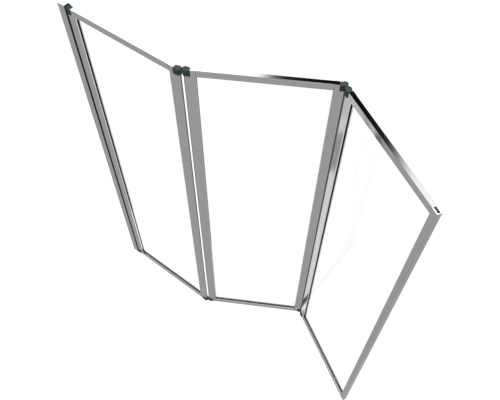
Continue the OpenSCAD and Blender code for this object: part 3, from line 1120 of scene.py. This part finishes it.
@dataclass
class Panel(Assembly):
    """A framed pane between two pivots.

    Args:
        width: From its left pivot to its right pivot or free edge.
        left: What its left edge is for.
        right: What its right edge is for.
        sides: To which side the links of its left and right edges fold.
    """

    width: float = 420.0
    left: Edge = Edge.HINGE
    right: Edge = Edge.HINGE
    sides: tuple[int, int] = (1, 1)

    @property
    def rail_end(self) -> float:
        """Where the rails meet the right stile."""
        s = self.sizes
        return self.width - (s.free_stile if self.right is Edge.FREE else s.stile)

    def build(self) -> None:
        """Builds every piece of the panel."""
        s, free = self.sizes, self.right is Edge.FREE
        window = Window(s.stile * MM, self.rail_end * MM, s.rail * MM, (s.height - s.rail) * MM)
        # the stiles and rails carry the painted highlight on their lips at the window
        upright = polished("polished_stile_painted_highlight", window=window)
        level = polished("polished_rail_painted_highlight", Run.ALONG, window=window)
        if self.left is Edge.WALL:
            self.add("wall_stile", self.wall_stile(), upright)
        else:
            self.add("left_stile", self.hinge_stile(), upright)
        if free:
            sawn = replace(upright, name="polished_sawn_stile_painted_highlight", cut=(s.height - s.sawn) * MM)
            self.add("free_stile", self.free_stile().at_right(self.width), sawn)
        else:
            self.add("right_stile", self.hinge_stile().at_right(self.width), upright)
        self.add("top_rail", self.top_rail(), level)
        self.add("bottom_rail", self.bottom_rail(), level)
        self.add("pane", self.pane(), ClearGlass("clear_glass", window))
        self.add("gasket", self.gasket())
        self.add("bottom_seal", self.bottom_seal())
        self.add("corner_screws", self.corner_screws())
        self.build_caps()
        self.keep("corner_keys", "pins", *(("free_corner_keys",) if free else ()))

    def build_caps(self) -> None:
        """Builds the caps of both edges, and the rubber nose at the wall."""
        both = self.left is Edge.HINGE and self.right is Edge.HINGE
        if self.left is Edge.WALL:
            self.add_both("wall_{}_cap", self.wall_cap())
            self.add("nose_seal", self.nose_seal())
        else:
            self.add_both("left_{}_cap" if both else "{}_cap", self.hinge_cap(self.sides[0]))
        if self.right is Edge.HINGE:
            self.add_both("right_{}_cap" if both else "{}_cap",
                          self.hinge_cap(self.sides[1]).at_right(self.width))

    def corner_screws(self) -> Solid:
        """The screws at the panel's four corners."""
        s = self.sizes
        one = self.screws.body(self.screws.long).moved(z=s.height - s.screw_drop)
        right = self.width if self.right is Edge.FREE else self.width - s.seat_x
        tops = (one.moved(x=s.seat_x), one.at_right(right))
        return Solid.together([end for top in tops for end in (top, top.at_bottom(s.height))])

    def seats(self) -> list[Solid]:
        """The cutters that make room for the caps at both ends of a stile."""
        s = self.sizes
        seat = Solid.prism(square_box(-s.depth, s.seat_x, s.depth), s.height - s.core,
                           s.height + OVER)
        screw = self.screws.cutter(self.screws.long).moved(s.seat_x, 0, s.height - s.screw_drop)
        return [seat, seat.at_bottom(s.height), screw, screw.at_bottom(s.height)]

    def inner_face(self, x1: float, mouth_x: float) -> Loop:
        """A frame's inner side at x1, with the bottom of its glazing groove at mouth_x."""
        s = self.sizes
        return grooved(x1, s.depth / 2, s.edge, mouth_x, s.groove / 2, s.lip)

    def stile(self, outer: Loop, chamber: Loop) -> Solid:
        """A left-hand stile with a glazing groove and seats for its caps."""
        s = self.sizes
        whole = outer + self.inner_face(s.stile, s.groove_x)
        return Solid.prism(whole, 0, s.height, holes=[chamber]).minus(*self.seats())

    def hinge_stile(self) -> Solid:
        """A left-hand hinge stile: a round nose with a D chamber."""
        s = self.sizes
        return self.stile(arc((0, 0), s.depth / 2, 90, 270, 48),
                          nosed(s.chamber / 2, s.seat_x, s.chamber_corner, 36))

    def wall_stile(self) -> Solid:
        """The stile at the wall, which has a flat back for the rubber nose."""
        s, root = self.sizes, self.caps.nose_root
        return self.stile(outer_corners(root, s.depth / 2, s.edge),
                          soft_box(root + s.thin_wall, s.seat_x, s.chamber / 2, s.chamber_corner))

    def plain_side(self, width: float) -> Loop:
        """The outline of a free stile or a rail, from its outer face at x = 0."""
        s = self.sizes
        return outer_corners(0, s.depth / 2, s.edge) + self.inner_face(width, s.outer_wall)

    def free_stile(self) -> Solid:
        """The free stile, drawn from its outer face at x = 0."""
        s = self.sizes
        stile = Solid.prism(self.plain_side(s.free_stile), 0, s.height, soft=s.sawn_edge)
        screw = self.screws.cutter(self.screws.long).moved(z=s.height - s.screw_drop)
        return stile.minus(screw, screw.at_bottom(s.height))

    def top_rail(self) -> Solid:
        """The top rail, between the stiles."""
        s = self.sizes
        outline = [(y, -x) for x, y in self.plain_side(s.rail)]
        return Solid.prism(outline, s.stile, self.rail_end, Run.ALONG).moved(z=s.height)

    def bottom_rail(self) -> Solid:
        """The bottom rail, with a slot for the seal's stem."""
        s = self.sizes
        half, deep = s.slot_half, s.slot_depth
        slot = Solid.prism([(-half, -OVER), (half, -OVER), (half, deep), (-half, deep)],
                           s.stile - OVER, self.rail_end + OVER, Run.ALONG)
        return self.top_rail().at_bottom(s.height).minus(slot)

    def pane(self) -> Solid:
        """The pane, with ground edges."""
        s = self.sizes
        x0, x1, z0 = s.stile - s.bite, self.rail_end + s.bite, s.rail - s.bite
        z1, half = s.height - z0, s.pane / 2
        flat = half - s.ground
        rings = []
        for y, off in ((-half, s.ground), (-flat, 0.0), (flat, 0.0), (half, s.ground)):
            rings.append([Vector(p) for p in ((x0 + off, y, z0 + off), (x0 + off, y, z1 - off),
                                              (x1 - off, y, z1 - off), (x1 - off, y, z0 + off))])
        return Solid.loft(rings)

    def gasket(self) -> Solid:
        """The glazing rubber: a U round the pane's edge, with rounded lips."""
        s = self.sizes
        inner, outer = s.pane / 2, s.pane / 2 + s.gasket
        depth = s.bite + s.gasket
        lip = [(s.bite, inner)] + [(s.recess + x, inner + y) for x, y in GASKET_LIP]
        lip += [(s.recess + x, outer - y) for x, y in GASKET_HEEL]
        lip += [(depth - GASKET_ROUND, outer), (depth, outer - GASKET_ROUND)]
        return Solid.mitred(doubled(lip), s.stile, self.rail_end, s.rail, s.height - s.rail)

    def bottom_seal(self) -> Solid:
        """The lip seal under the panel: a flat strip, a stem and a curved fin."""
        first = self.caps.length + SEAL_GAP
        last = self.width - (0 if self.right is Edge.FREE else first)
        wide, half, corner = SEAL_STRIP
        strip = [(x, y - half) for x, y in soft_box(-wide, wide, half, corner, 4)]
        return Solid.prism(strip, first, last, Run.ALONG).plus(
            Solid.prism(SEAL_FIN, first, last, Run.ALONG),
            Solid.prism(SEAL_STEM, self.sizes.stile, self.rail_end, Run.ALONG))

    def nose_seal(self) -> Solid:
        """The rubber nose at the wall, a fluted arch that stands on the stile's back."""
        s, caps = self.sizes, self.caps
        outer, hollow, steps = s.depth / 2, caps.nose_hollow, caps.nose_steps
        start, open_start = (math.acos(caps.nose_root / r) for r in (outer, hollow))
        flutes = []
        for i in range(steps + 1):
            turn = start + 2 * (math.pi - start) * i / steps
            r = outer - (caps.nose_flute if 3 < i < steps - 3 and i % 6 in (3, 4) else 0.0)
            flutes.append((r * math.cos(turn), r * math.sin(turn)))
        open_start = math.degrees(open_start)
        inner = arc((0, 0), hollow, 360 - open_start, open_start, 40)
        return Solid.prism(flutes + inner, caps.height, s.height - caps.height)

    def hinge_cap(self, side: int) -> Solid:
        """A left-hand top cap.

        Args:
            side: The side to which its link folds, 1 or -1.

        Returns:
            The cap: a skirt and a plug for the stile, a slot for the link and a pin bore.
        """
        s, caps = self.sizes, self.caps
        top, foot = s.height, s.height - caps.height
        seat = nosed(s.depth / 2 + caps.fit, caps.length + OVER)
        plug = nosed(s.chamber / 2 - caps.fit, caps.length)
        pocket = Solid.prism(seat, foot - OVER, top - s.core, holes=[plug])
        reach, wide = caps.link_length + caps.link_radius, caps.link_radius + caps.swing
        sweep = ([(-reach, -wide)] + arc((0, 0), wide, 270, 360, 16)
                 + [(wide, reach), (-reach, reach)])
        slot = Solid.prism(sweep, top - caps.roof - caps.slot_height, top - caps.roof)
        cutters = [pocket, slot, Solid.rod(caps.pin, foot - OVER, top - caps.pin_cover)]
        if side < 0:
            cutters = [cutter.swapped() for cutter in cutters]
        return self.cap_form(caps.radius).minus(self.shoulder(), *cutters)

    def wall_cap(self) -> Solid:
        """A top cap at the wall, with a bore for the wall pin."""
        s, caps = self.sizes, self.caps
        top, root = s.height, caps.nose_root
        seat = square_box(root - caps.fit, caps.length + OVER, s.depth / 2 + caps.fit)
        plug = soft_box(root + s.thin_wall + caps.fit, caps.length, s.chamber / 2 - caps.fit,
                        caps.plug_corner, 3)
        pocket = Solid.prism(seat, top - caps.height - OVER, top - s.core, holes=[plug])
        bore = Solid.rod(caps.pin + caps.pin_fit, top - s.core + caps.pin_cover, top + OVER)
        return self.cap_form(caps.wall_radius).minus(pocket, bore)


@dataclass
class HingeLink(Assembly):
    """The link between two panels: a plate at each end, in bushes on both pins.

    Args:
        thickness: The plates' thickness.
        edge: How far their edges are rounded over.
        clearance: The space over a plate.
        bush: The bushes' outer radius.
    """

    thickness: float = 4.0
    edge: float = 0.35
    clearance: float = 0.2
    bush: float = 3.4

    def build(self) -> None:
        """Builds both plates."""
        caps = self.caps
        r, far = caps.link_radius, caps.link_length
        outline = arc((0, 0), r, 90, 270, 28) + arc((far, 0), r, 270, 450, 28)
        holes = [circle((x, 0), self.bush, 40) for x in (0, far)]
        high = self.sizes.height - caps.roof - self.clearance
        plate = Solid.prism(outline, high - self.thickness, high, soft=self.edge, holes=holes)
        self.add_both("{}_plate", plate)
        self.keep("bushes")


@dataclass
class WallSide(Assembly):
    """What is screwed to the wall: a channel, its adjusting profile, covers and brackets.

    Args:
        width: How far the wall profile stands out.
        depth: Its depth.
        base: Its thickness against the wall.
        nose: The radius of its front corners.
        adjuster: Where the adjusting profile starts.
        pivot: How far the wall pivot stands out.
        overrun: How far the profile runs past the panels at each end.
        cover: The thickness of the covers.
        cover_edge: How far their edges are rounded over.
        strip: The thickness of the black seal strip.
        hole: The radius of the wall screw holes.
        sink: How deep they are countersunk.
        sink_over: How far the countersink's cutter reaches past the base.
        holes: Their heights over the foot of the panels.
        adjusters: The heights of the adjusting screws.
        brackets: The sizes of the brackets.
    """

    width: float = 28.3
    depth: float = 19.0
    base: float = 2.0
    nose: float = 0.7
    adjuster: float = 10.0
    pivot: float = 37.4
    overrun: float = 3.3
    cover: float = 1.0
    cover_edge: float = 0.3
    strip: float = 1.7
    hole: float = 2.6
    sink: float = 0.9
    sink_over: float = 0.1
    holes: tuple[float, ...] = (80.0, 490.0, 910.0, 1320.0)
    adjusters: tuple[float, ...] = (126.0, 700.0, 1274.0)
    brackets: BracketSizes = field(default_factory=BracketSizes)

    prefix = ""

    def build(self) -> None:
        """Builds every piece on the wall."""
        self.add("wall_profile", self.profile())
        self.add("wall_seal_strip", self.seal_strip())
        self.add("adjusting_screws", self.adjusting_screws())
        self.add_both("{}_bracket", self.bracket())
        self.add_both("{}_cover", self.end_cover(), polished("polished_level", Run.ALONG))
        self.keep("adjusting_profile", "wall_pins")

    @property
    def adjuster_end(self) -> float:
        """Where the adjusting profile ends."""
        return self.width - self.caps.fit

    def flank_screws(self, one: Solid) -> list[Solid]:
        """Puts a screw that was made along +X into the profile's flank at each height, from +Y."""
        x = (self.adjuster + self.adjuster_end) / 2
        turn = Matrix.Rotation(math.radians(-90), 4, "Z")
        return [one.changed(Matrix.Translation((x, self.depth / 2, z)) @ turn)
                for z in self.adjusters]

    def profile(self) -> Solid:
        """The channel on the wall, with its screw holes."""
        half = self.depth / 2
        inner = half - self.sizes.thin_wall
        outline = (outer_corners(0, half, self.sizes.edge)
                   + grooved(self.width, half, self.nose, self.base, inner, self.sizes.lip))
        body = Solid.prism(outline, -self.overrun, self.sizes.height + self.overrun)
        sink = [(-OVER, self.hole), (self.base - self.sink, self.hole),
                (self.base + self.sink_over, self.hole + self.sink + self.sink_over)]
        cutters = [Solid.turned(sink).moved(z=z) for z in self.holes]
        cutters += self.flank_screws(self.screws.cutter(self.screws.short))
        return body.minus(Solid.together(cutters))

    def adjusting_screws(self) -> Solid:
        """The screws that clamp the adjusting profile."""
        return Solid.together(self.flank_screws(self.screws.body(self.screws.short)))

    def seal_strip(self) -> Solid:
        """The black strip that panel 1's nose turns beside, with two shallow ribs."""
        x0, x1 = self.adjuster_end, self.adjuster_end + self.strip
        half = self.sizes.depth / 2 - self.sizes.edge
        lower = [(x0, -half)] + [(x1 - x, -half + y) for x, y in STRIP_ROUND]
        lower += [(x1 - x, -y) for x, y in STRIP_RIB]
        low = self.caps.height + self.caps.swing
        return Solid.prism(doubled(lower), low, self.sizes.height - low)

    def bracket(self) -> Solid:
        """The top bracket: an arm that carries the wall pin and a plug in the adjusting profile."""
        caps, b = self.caps, self.brackets
        low = self.sizes.height + b.gap
        half_in, half = self.depth / 2 - b.inset, (self.depth - self.sizes.edge) / 2
        x0, neck, middle = self.adjuster - b.tail, self.width + b.neck, self.pivot + b.nose - b.corner
        outline = ([(x0, -half_in), (neck, -half_in), (neck, -half)]
                   + arc((middle, b.corner - half), b.corner, 270, 360, 10)
                   + arc((middle, half - b.corner), b.corner, 0, 90, 10)
                   + [(neck, half), (neck, half_in), (x0, half_in)])
        arm = Solid.prism(outline, low, low + b.thickness, soft=b.edge)
        wall = self.sizes.thin_wall + caps.fit
        plug = soft_box(self.adjuster + wall, self.adjuster_end - wall, half_in - wall, b.plug_corner)
        return arm.plus(Solid.prism(plug, low - b.plug, low + OVER)).minus(
            Solid.rod(caps.pin, low - OVER, low + b.bore, self.pivot))

    def end_cover(self) -> Solid:
        """The thin cover on the end of the wall profile."""
        low = self.sizes.height + self.overrun
        return Solid.prism(soft_box(0, self.width, self.depth / 2, self.sizes.edge),
                           low, low + self.cover, soft=self.cover_edge)


# ---- studio ----


@dataclass(frozen=True)
class SoftBox:
    """A soft window of light, or of dark, in the studio's sky.

    Args:
        azimuth: Its two sides, in degrees from +Y towards +X.
        elevation: Its foot and head, in degrees over the horizon.
        soft: The width of its soft edge, in degrees.
        level: Its brightness.
    """

    azimuth: tuple[float, float]
    elevation: tuple[float, float]
    soft: float
    level: float


@dataclass(frozen=True)
class LowLamp:
    """A soft lamp that lies on the floor beside the screen.

    Args:
        across: Its two sides along X, in metres.
        away: Its two sides along Y, in metres.
        level: Its power, in watts for each square metre.
    """

    across: tuple[float, float]
    away: tuple[float, float]
    level: float


@dataclass
class Studio:
    """A pale floor under a soft sky.

    Args:
        floor_z: The height of the floor, in metres.
        floor_size: Its width, in metres.
        floor_colour: Its colour in diffuse light.
        glow: What is added where it is seen straight or in a mirror, so that it shows white.
        lift: How far the low lamps are over the floor, in metres.
        sky: The dome's brightness.
        rim: The brightness near the horizon that lights the object.
        rim_end: Between which elevations the horizon's brightness ends, in degrees.
        zenith: The brightness straight above.
        zenith_start: Between which elevations that brightness starts, in degrees.
        boxes: The softboxes and dark flags.
        lamps: The soft lamps on the floor.
    """

    floor_z: float = -1.22
    floor_size: float = 16.0
    floor_colour: float = 0.22
    glow: float = 0.82
    lift: float = 0.02
    sky: float = 0.6
    rim: float = 0.12
    rim_end: tuple[float, float] = (22.0, 28.0)
    zenith: float = 3.0
    zenith_start: tuple[float, float] = (62.0, 76.0)
    boxes: tuple[SoftBox, ...] = (
        SoftBox((-75.0, -34.9), (28.0, 53.0), 2.2, 4.2),
        SoftBox((-33.7, -15.0), (30.0, 52.0), 1.5, 0.0),
        SoftBox((-12.9, 20.0), (42.0, 57.5), 4.5, 3.3),
        SoftBox((-64.0, 12.0), (59.5, 77.0), 3.0, 0.6),
        SoftBox((100.0, 150.0), (28.0, 60.0), 4.0, 3.0),
        SoftBox((-170.0, -120.0), (30.0, 60.0), 4.0, 2.4),
    )
    lamps: tuple[LowLamp, ...] = (
        LowLamp((-2.6, -0.92), (-0.3, 0.6), 2.7),
        LowLamp((-0.92, -0.77), (-0.3, 0.6), 4.4),
        LowLamp((-0.42, 0.6), (0.02, 0.6), 5.1),
    )

    def build(self) -> None:
        """Builds the floor, the sky and the low lamps."""
        self.build_floor()
        self.build_sky()
        for lamp in self.lamps:
            self.build_lamp(lamp)

    def build_lamp(self, lamp: LowLamp) -> None:
        """Builds one of the soft lamps on the floor, which shines upwards."""
        (x0, x1), (y0, y1) = lamp.across, lamp.away
        data = bpy.data.lights.new("low_lamp", "AREA")
        data.shape = "RECTANGLE"
        data.size, data.size_y = x1 - x0, y1 - y0
        data.energy = lamp.level * data.size * data.size_y
        made = linked("low_lamp", data)
        made.location = ((x0 + x1) / 2, (y0 + y1) / 2, self.floor_z + self.lift)
        made.rotation_euler = (math.pi, 0.0, 0.0)
        made.visible_camera = False

    def build_floor(self) -> None:
        """A wide plain floor that shows white and keeps the object's shadow."""
        half = self.floor_size / 2
        mesh = bpy.data.meshes.new("floor")
        corners = ((-half, -half), (half, -half), (half, half), (-half, half))
        mesh.from_pydata([(x, y, self.floor_z) for x, y in corners], [], [(0, 1, 2, 3)])
        floor = linked("floor", mesh)
        material = bpy.data.materials.new("pale_floor")
        material.use_nodes = True
        graph = Graph(material.node_tree)
        diffuse = graph.add("ShaderNodeBsdfDiffuse", None, {"Color": (self.floor_colour,) * 3})
        glow = graph.add("ShaderNodeEmission", None,
                         {"Color": (1.0, 1.0, 1.0), "Strength": self.seen(graph) * self.glow})
        graph.show(graph.add("ShaderNodeAddShader", None, {0: diffuse, 1: glow}))
        mesh.materials.append(material)

    @staticmethod
    def seen(graph: Graph) -> Field:
        """1 for rays that show the stage itself, straight, in a mirror or through glass."""
        rays = [graph.add("ShaderNodeLightPath", output=name)
                for name in ("Is Camera Ray", "Is Glossy Ray", "Is Transmission Ray")]
        return graph.math("MAXIMUM", graph.math("MAXIMUM", rays[0], rays[1]), rays[2])

    def build_sky(self) -> None:
        """A sky that is white at the horizon for the eye, with softboxes above."""
        world = bpy.data.worlds.new("studio_sky")
        world.use_nodes = True
        graph = Graph(world.node_tree)
        way = graph.add("ShaderNodeTexCoord", output="Generated")
        apart = [graph.add("ShaderNodeSeparateXYZ", None, {0: way}, i) for i in range(3)]
        azimuth = graph.math("ARCTAN2", apart[0], apart[1]) * math.degrees(1)
        elevation = graph.math("ARCSINE", apart[2]) * math.degrees(1)
        level = self.sky + graph.rise(elevation, *self.zenith_start) * (self.zenith - self.sky)
        low = 1 - graph.rise(elevation, *self.rim_end)
        horizon = self.rim + self.seen(graph) * (1.0 - self.rim)
        level = level * (1 - low) + horizon * low
        for box in self.boxes:
            inside = (graph.band(azimuth, box.azimuth, box.soft)
                      * graph.band(elevation, box.elevation, box.soft))
            level = level * (1 - inside) + inside * box.level
        light = graph.add("ShaderNodeBackground", None, {"Strength": level, "Color": (1, 1, 1)})
        graph.show(light, "ShaderNodeOutputWorld")
        bpy.context.scene.world = world


@dataclass(frozen=True)
class PhotoCamera:
    """The camera, at the photograph's place and angle.

    Args:
        place: Its place, in metres.
        heading: The way it looks, in degrees from +Y towards +X.
        pitch: How far it looks down, in degrees.
        roll: Its roll, in degrees.
        focal: The focal length, in pixels of the photograph.
        width: The photograph's width, in pixels.
        sensor: The sensor's width, in millimetres.
        reach: How far it sees, in metres.
    """

    place: tuple[float, float, float] = (1.29176, -0.79440, 1.69535)
    heading: float = -36.4789
    pitch: float = 54.5662
    roll: float = 1.0231
    focal: float = 556.2547
    width: float = 500.0
    sensor: float = 36.0
    reach: float = 60.0

    def build(self) -> None:
        """Creates the camera and makes it the scene's."""
        h, p, r = (math.radians(a) for a in (self.heading, self.pitch, self.roll))
        ahead = Vector((math.sin(h) * math.cos(p), math.cos(h) * math.cos(p), -math.sin(p)))
        across = Vector((math.cos(h), -math.sin(h), 0))
        over = across.cross(ahead)
        right = across * math.cos(r) + over * math.sin(r)
        up = over * math.cos(r) - across * math.sin(r)
        turn = Matrix((right, up, -ahead)).transposed().to_4x4()
        data = bpy.data.cameras.new("photo_camera")
        data.sensor_width = self.sensor
        data.lens = self.focal / self.width * self.sensor
        data.clip_end = self.reach
        camera = linked("photo_camera", data)
        camera.matrix_world = Matrix.Translation(self.place) @ turn
        bpy.context.scene.camera = camera


def placed(start: Vector, end: Vector) -> Matrix:
    """The frame of a panel or link that starts at one pivot and points to the next.

    Args:
        start: The first pivot, in millimetres, seen from above.
        end: The second pivot.

    Returns:
        The frame's matrix, in metres, with its foot at z = 0.
    """
    turn = math.atan2(end.y - start.y, end.x - start.x)
    here = Vector((start.x, start.y, -FrameSizes().height / 2)) * MM
    return Matrix.Translation(here) @ Matrix.Rotation(turn, 4, "Z")


def assemblies() -> list[Assembly]:
    """The screen's groups, in the order in which they are built."""
    wall, near_1, far_1, near_2, far_2 = (
        pivot(name) for name in ("wall_hinge", "hinge_1_near", "hinge_1_far", "hinge_2_near",
                                 "hinge_2_far"))
    beyond = far_2 + (far_2 - near_2)
    return [
        WallSide("wall_side", placed(Vector((0, 0)), Vector((1, 0))), pivot=wall.x),
        Panel("panel_1", placed(wall, near_1), width=(near_1 - wall).length, left=Edge.WALL),
        HingeLink("link_1", placed(near_1, far_1)),
        Panel("panel_2", placed(far_1, near_2), width=(near_2 - far_1).length, sides=(1, -1)),
        HingeLink("link_2", placed(near_2, far_2)),
        Panel("panel_3", placed(far_2, beyond), width=LAST_PANEL, right=Edge.FREE, sides=(-1, -1)),
    ]


def main() -> None:
    """Builds the screen, the studio and the camera."""
    logging.basicConfig(level=logging.INFO, format="%(message)s")
    for assembly in assemblies():
        assembly.build()
    Studio().build()
    PhotoCamera().build()
    bpy.context.scene.view_settings.view_transform = "Standard"


if __name__ == "__main__":
    main()
